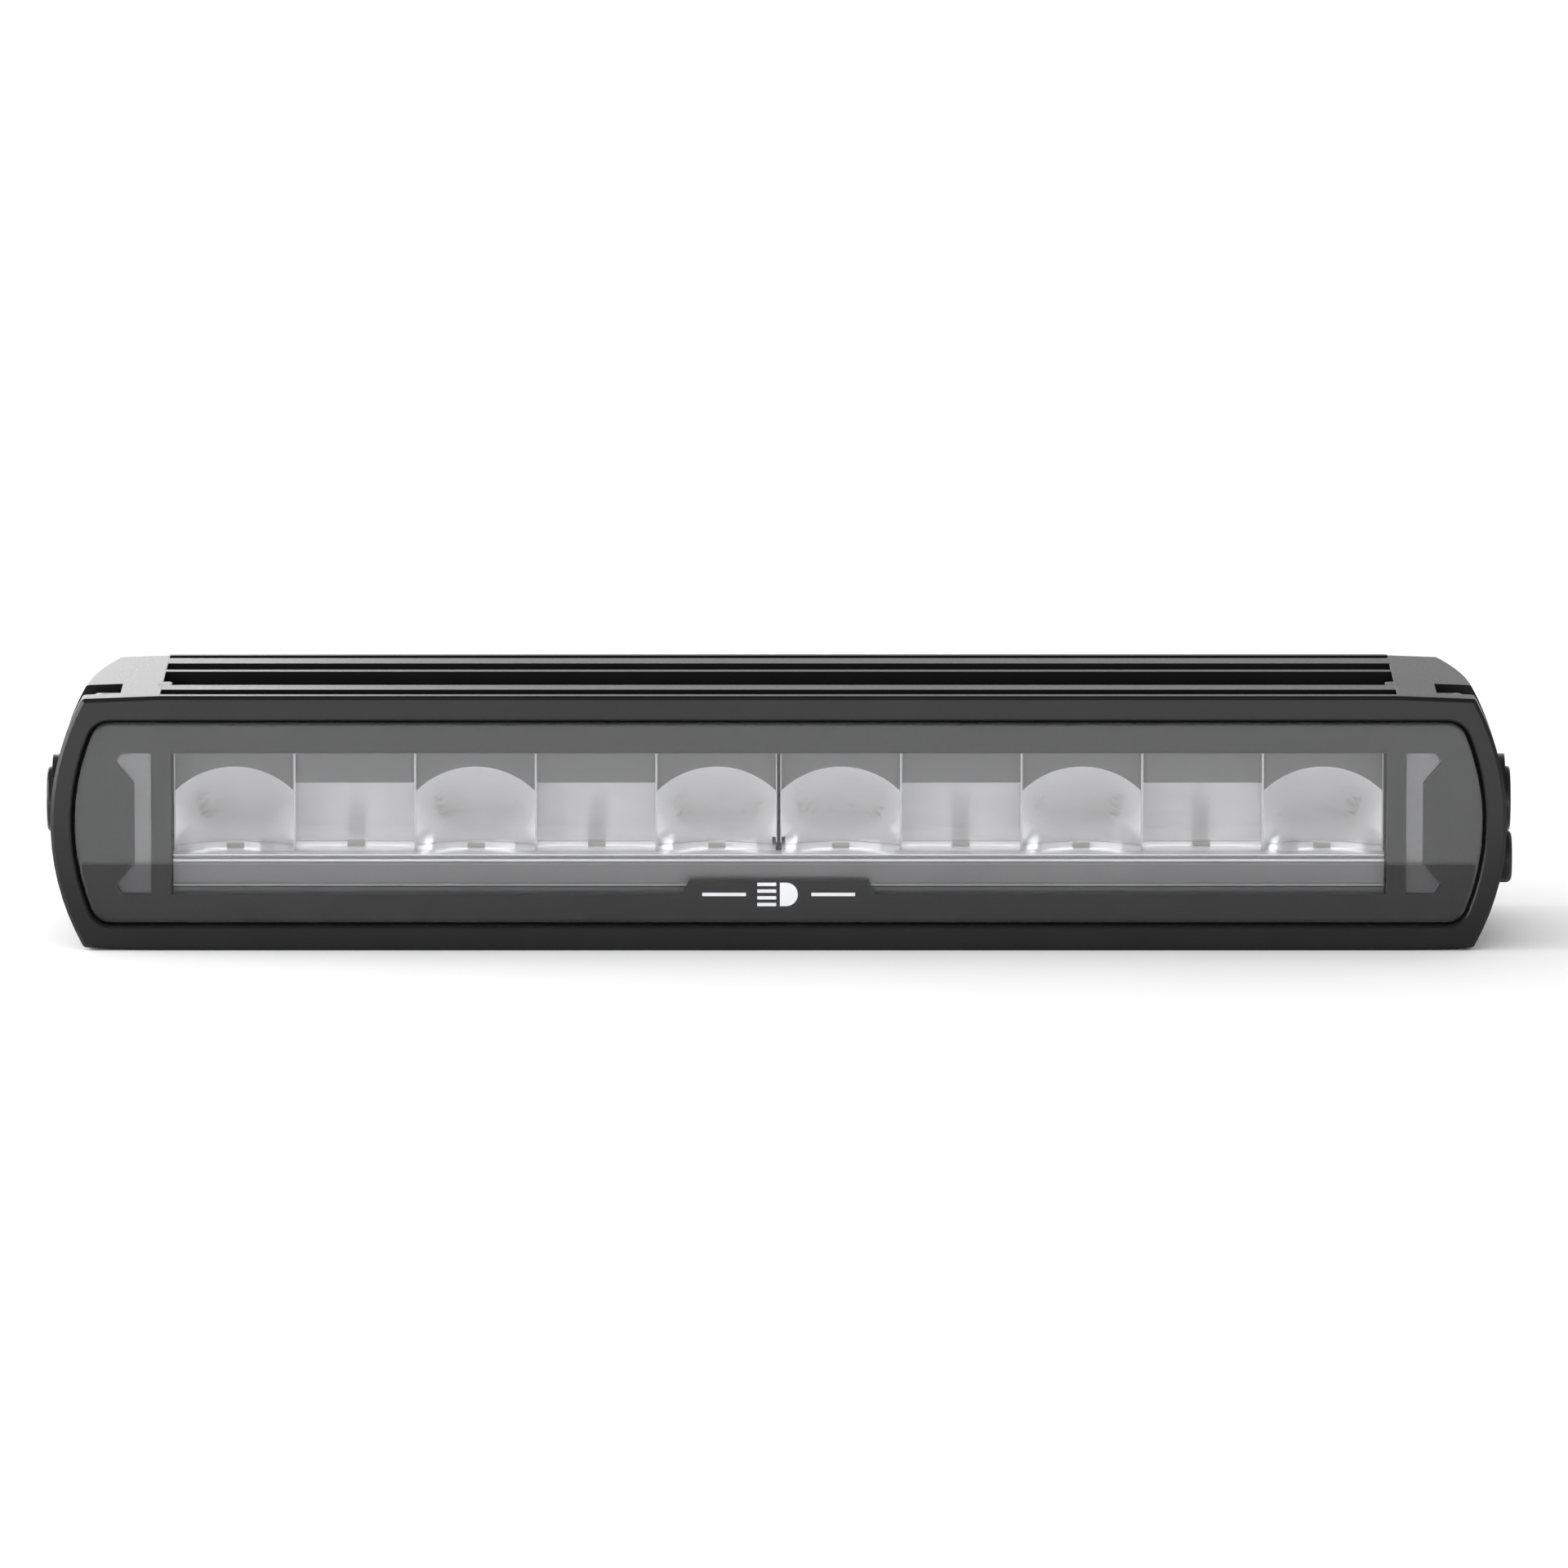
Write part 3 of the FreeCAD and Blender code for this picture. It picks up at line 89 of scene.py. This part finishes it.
def colour_socket(sockets, name):
    """The colour socket among a Mix node's sockets of one name."""
    return next(socket for socket in sockets if socket.name == name and socket.type == "RGBA")


def tint(tree, source, dark, light):
    """Spread a pattern between two colours."""
    mix = add_node(tree, "ShaderNodeMix", data_type="RGBA")
    colour_socket(mix.inputs, "A").default_value = (*dark, 1)
    colour_socket(mix.inputs, "B").default_value = (*light, 1)
    tree.links.new(source, mix.inputs["Factor"])
    return colour_socket(mix.outputs, "Result")


def relief(tree, source, height, edge_radius=0.0):
    """A bump of the given height in metres, over edges softened to the given radius, if any."""
    bump = add_node(tree, "ShaderNodeBump")
    set_sockets(bump, Strength=1.0, Distance=height)
    tree.links.new(source, bump.inputs["Height"])
    if edge_radius:
        edge = add_node(tree, "ShaderNodeBevel", samples=6)
        edge.inputs["Radius"].default_value = edge_radius
        tree.links.new(edge.outputs["Normal"], bump.inputs["Normal"])
    return bump.outputs["Normal"]


def surface(name, dark, light, rough=(0.4, 0.5), grain=0.4 * MM, height=0.02 * MM, edge=0.0,
            patch=12 * MM, metallic=0.0, stretch=(1, 1, 1), **sockets):
    """A solid surface: patches of colour, and grains that vary both its relief and its roughness."""
    material, tree, shader = new_material(name)
    broad = noise(tree, patch, 3.0)
    fine = noise(tree, grain, 2.0, stretch)
    tree.links.new(tint(tree, ramp(tree, broad, 0, 1), dark, light), shader.inputs["Base Color"])
    tree.links.new(ramp(tree, fine, *rough), shader.inputs["Roughness"])
    tree.links.new(relief(tree, fine, height, edge), shader.inputs["Normal"])
    set_sockets(shader, Metallic=metallic, **sockets)
    return material


def grey(level):
    """A neutral grey, very slightly cool."""
    coolness = 1.01
    return (level, level, level * coolness)


def along_axis(tree, axis, low, high, stops):
    """A grey that steps along an object axis between two places; stops are (place, level)."""
    place = add_node(tree, "ShaderNodeTexCoord")
    split = add_node(tree, "ShaderNodeSeparateXYZ")
    tree.links.new(place.outputs["Object"], split.inputs["Vector"])
    spread = ramp(tree, split.outputs[axis], 0, 1, low, high)
    steps = add_node(tree, "ShaderNodeValToRGB")
    steps.color_ramp.interpolation = "CONSTANT"
    elements = steps.color_ramp.elements
    elements.remove(elements[1])
    for index, (where, level) in enumerate(stops):
        position = (where - low) / (high - low)
        element = elements[0] if index == 0 else elements.new(position)
        element.position = position
        element.color = (level, level, level, 1)
    tree.links.new(spread, steps.inputs["Fac"])
    return steps.outputs["Color"]


def speckled(tree, colour, size, share):
    """Darken a colour by up to a share, in soft patches of about the given size."""
    mix = add_node(tree, "ShaderNodeMix", data_type="RGBA", blend_type="MULTIPLY")
    mix.inputs["Factor"].default_value = 1
    tree.links.new(colour, colour_socket(mix.inputs, "A"))
    patches = ramp(tree, noise(tree, size, 3.0), 1 - share, 1)
    tree.links.new(patches, colour_socket(mix.inputs, "B"))
    return colour_socket(mix.outputs, "Result")


def clear_glass(name, index):
    """Clear plastic, a touch uneven in tint, that lets light through to what lies behind it."""
    material, tree, shader = new_material(name)
    set_sockets(shader, Transmission_Weight=1.0, IOR=index, Roughness=0.0)
    haze = ramp(tree, noise(tree, 20 * MM), 0, 1)
    tree.links.new(tint(tree, haze, grey(0.97), grey(0.99)), shader.inputs["Base Color"])
    path = add_node(tree, "ShaderNodeLightPath")
    passing = add_node(tree, "ShaderNodeBsdfTransparent")
    mix = add_node(tree, "ShaderNodeMixShader")
    output = tree.nodes["Material Output"]
    tree.links.new(path.outputs["Is Shadow Ray"], mix.inputs[0])
    tree.links.new(shader.outputs["BSDF"], mix.inputs[1])
    tree.links.new(passing.outputs["BSDF"], mix.inputs[2])
    tree.links.new(mix.outputs["Shader"], output.inputs["Surface"])
    return material


def reflector_painted_reflections():
    """Mirror-bright dishes behind a satin web and ribs whose greys are painted: light rib front
    edges as painted highlights, and the web's grey as a painted reflection.
    """
    material, tree, shader = new_material("reflector_metal")
    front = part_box("reflector_module_right")[0][1]
    rib_lead = 1.0 * MM
    web_skin = 0.15 * MM
    web = front + rib_lead
    low, high = front - MM, 0.0
    zones = (low, web - web_skin, web + web_skin)

    def by_zone(ribs, web_face, dishes):
        return along_axis(tree, "Y", low, high, list(zip(zones, (ribs, web_face, dishes))))

    # Painted light: the rib fronts' 0.40 is a painted highlight and the web's 0.115 a painted
    # reflection grey, set by depth; only the dishes reflect for real.
    colour = by_zone(0.40, 0.115, 0.84)
    metal = by_zone(0.0, 0.0, 0.9)
    rough = by_zone(0.2, 0.35, 0.10)
    tree.links.new(speckled(tree, colour, 5 * MM, 0.05), shader.inputs["Base Color"])
    tree.links.new(metal, shader.inputs["Metallic"])
    tree.links.new(rough, shader.inputs["Roughness"])
    tree.links.new(relief(tree, noise(tree, 4 * MM), 0.02 * MM), shader.inputs["Normal"])
    set_sockets(shader, Specular_IOR_Level=0.2)
    return material


def trim_painted_reflections():
    """A grey slab between brighter rails, with the rails' and grooves' greys painted in as the
    reflections of a chrome moulding.
    """
    material, tree, shader = new_material("trim_metal")
    low, high = (corner[2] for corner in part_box("lower_trim"))
    # Painted light: every grey below, from under the slab up to the top rail, is a painted
    # reflection tone set by height; the lighter rails are painted reflections.
    under_slab = 0.09
    drops_and_reflection_greys = ((6.75, 0.22), (6.05, 0.13), (1.6, 0.42), (0.9, 0.16), (0.3, 0.6))
    steps = [(low - MM, under_slab)]
    steps += [(high - drop * MM, level) for drop, level in drops_and_reflection_greys]
    colour = along_axis(tree, "Z", low - MM, high + MM, steps)
    tree.links.new(speckled(tree, colour, 9 * MM, 0.06), shader.inputs["Base Color"])
    tree.links.new(ramp(tree, noise(tree, 6 * MM), 0.30, 0.33), shader.inputs["Roughness"])
    tree.links.new(relief(tree, noise(tree, 6 * MM), 0.001 * MM, 0.12 * MM), shader.inputs["Normal"])
    set_sockets(shader, Metallic=0.3, Specular_IOR_Level=0.4)
    return material


MATERIALS = {
    "powder_coat": surface("powder_coat", grey(0.0055), grey(0.0075), rough=(0.30, 0.38),
                           grain=0.35 * MM, height=0.008 * MM, edge=0.25 * MM,
                           Specular_IOR_Level=0.25),
    "clear_lens": clear_glass("clear_lens", 1.26),
    "seal_rubber": surface("seal_rubber", grey(0.002), grey(0.003), rough=(0.8, 0.9),
                           Specular_IOR_Level=0.1),
    "mask_plastic": surface("mask_plastic", grey(0.017), grey(0.019), rough=(0.42, 0.46),
                            grain=2 * MM, height=0.0008 * MM, Specular_IOR_Level=0.08),
    "symbol_print": surface("symbol_print", grey(0.82), grey(0.88), rough=(0.5, 0.6),
                            grain=2 * MM, height=0.0008 * MM),
    "reflector_metal": reflector_painted_reflections(),
    "trim_metal": trim_painted_reflections(),
    "white_board": surface("white_board", grey(0.84), grey(0.90), rough=(0.10, 0.16),
                           grain=3 * MM, height=0.002 * MM),
    "led_phosphor": surface("led_phosphor", (0.30, 0.30, 0.28), (0.38, 0.38, 0.35),
                            grain=2 * MM, height=0.002 * MM),
    "thermal_pad": surface("thermal_pad", grey(0.35), grey(0.40), rough=(0.7, 0.8)),
    "frosted_guide": surface("frosted_guide", grey(0.05), grey(0.06), rough=(0.04, 0.06),
                             grain=6 * MM, height=0.0006 * MM),
    "zinc_steel": surface("zinc_steel", grey(0.50), grey(0.60), rough=(0.25, 0.4), metallic=1.0),
    "black_steel": surface("black_steel", grey(0.006), grey(0.010), rough=(0.24, 0.34),
                           edge=0.2 * MM, height=0.004 * MM, Specular_IOR_Level=0.35),
    "black_plastic": surface("black_plastic", grey(0.008), grey(0.012), rough=(0.4, 0.5),
                             edge=0.2 * MM, height=0.008 * MM, Specular_IOR_Level=0.3),
    "membrane": surface("membrane", grey(0.7), grey(0.75), rough=(0.6, 0.7)),
    "circuit_board": surface("circuit_board", (0.01, 0.09, 0.04), (0.02, 0.12, 0.05)),
    "bare_aluminium": surface("bare_aluminium", grey(0.6), grey(0.7), metallic=1.0),
}


def dress_nodes():
    """Give every CAD node the finish of its slot in the record."""
    for part in frame["record"]["subparts"]:
        node = frame["nodes"][part["node"]]
        for slot in node.material_slots:
            slot.material = MATERIALS[part["material_slot"]]


# ---------------------------------------------------------------- studio

def make_floor():
    """A plain pale floor under the bar."""
    reach = 12.0
    mesh = bpy.data.meshes.new("floor")
    corners = [(-reach, -reach, 0), (reach, -reach, 0), (reach, reach, 0), (-reach, reach, 0)]
    mesh.from_pydata(corners, [], [(0, 1, 2, 3)])
    floor = bpy.data.objects.new("floor", mesh)
    bpy.context.scene.collection.objects.link(floor)
    floor.location.z = CAD_BOX[0][2]
    mesh.materials.append(surface("pale_floor", grey(0.90), grey(0.92), rough=(0.8, 0.9),
                                  grain=50 * MM, height=0.0, patch=0.8))


def make_world():
    """White near the horizon and dim overhead, brighter on the left than on the right."""
    world = bpy.data.worlds.new("studio")
    world.use_nodes = True
    bpy.context.scene.world = world
    tree = world.node_tree
    place = add_node(tree, "ShaderNodeTexCoord")
    split = add_node(tree, "ShaderNodeSeparateXYZ")
    tree.links.new(place.outputs["Generated"], split.inputs["Vector"])
    height = ramp(tree, split.outputs["Z"], low=1.1, high=0.3, from_low=0.25, from_high=0.6)
    side = ramp(tree, split.outputs["X"], low=1.3, high=0.5, from_low=-0.8, from_high=0.8)
    both = add_node(tree, "ShaderNodeMath", operation="MULTIPLY")
    tree.links.new(height, both.inputs[0])
    tree.links.new(side, both.inputs[1])
    background = tree.nodes["Background"]
    background.inputs["Color"].default_value = (1, 1, 1, 1)
    tree.links.new(both.outputs["Value"], background.inputs["Strength"])


def make_camera():
    """A long lens from straight in front, a little above the bar."""
    elevation = math.radians(8.8)
    distance = 3.3
    front = Vector((0, CAD_BOX[0][1], (CAD_BOX[0][2] + CAD_BOX[1][2]) / 2))
    up = Vector((0, math.sin(elevation), math.cos(elevation)))
    rise = 8.2 * MM
    sideways = 1.1 * MM
    target = front + rise * up + Vector((sideways, 0, 0))
    data = bpy.data.cameras.new("camera")
    data.lens = 368
    data.sensor_width = 36
    camera = bpy.data.objects.new("camera", data)
    bpy.context.scene.collection.objects.link(camera)
    camera.location = target + distance * Vector((0, -math.cos(elevation), math.sin(elevation)))
    camera.rotation_euler = (math.pi / 2 - elevation, 0, 0)
    bpy.context.scene.camera = camera


def add_panel(name, place, aim, width, height, radiance, glossy=True):
    """A soft box with a given brightness that the camera doesn't see."""
    data = bpy.data.lights.new(name, "AREA")
    data.shape = "RECTANGLE"
    data.size = width
    data.size_y = height
    data.energy = radiance * math.pi * width * height
    light = bpy.data.objects.new(name, data)
    bpy.context.scene.collection.objects.link(light)
    light.location = place
    light.rotation_euler = (Vector(aim) - Vector(place)).to_track_quat("-Z", "Y").to_euler()
    light.visible_camera = False
    light.visible_glossy = glossy


def light_studio():
    """A wash from above for the floor, a low front panel for the lens, and two boxes on the left."""
    floor = CAD_BOX[0][2]
    add_panel("wash", place=(0, 0, 4.0), aim=(0, 0, 0), width=16, height=16,
              radiance=0.8, glossy=False)
    edge = -0.135
    depth = 0.5
    middle = edge - depth / 2
    add_panel("front_panel", place=(0, middle, floor + MM), aim=(0, middle, 1),
              width=1.4, height=depth, radiance=2.5)
    add_panel("left_box", place=(-0.75, -0.05, 0.25), aim=(-0.15, 0, 0.03),
              width=0.5, height=0.5, radiance=6)
    add_panel("back_left_panel", place=(-0.75, 1.6, 0.45), aim=(-0.1, 0, 0.05),
              width=1.3, height=0.8, radiance=2.4)


dress_nodes()
make_floor()
make_world()
make_camera()
light_studio()
bpy.context.scene.view_settings.view_transform = "Standard"
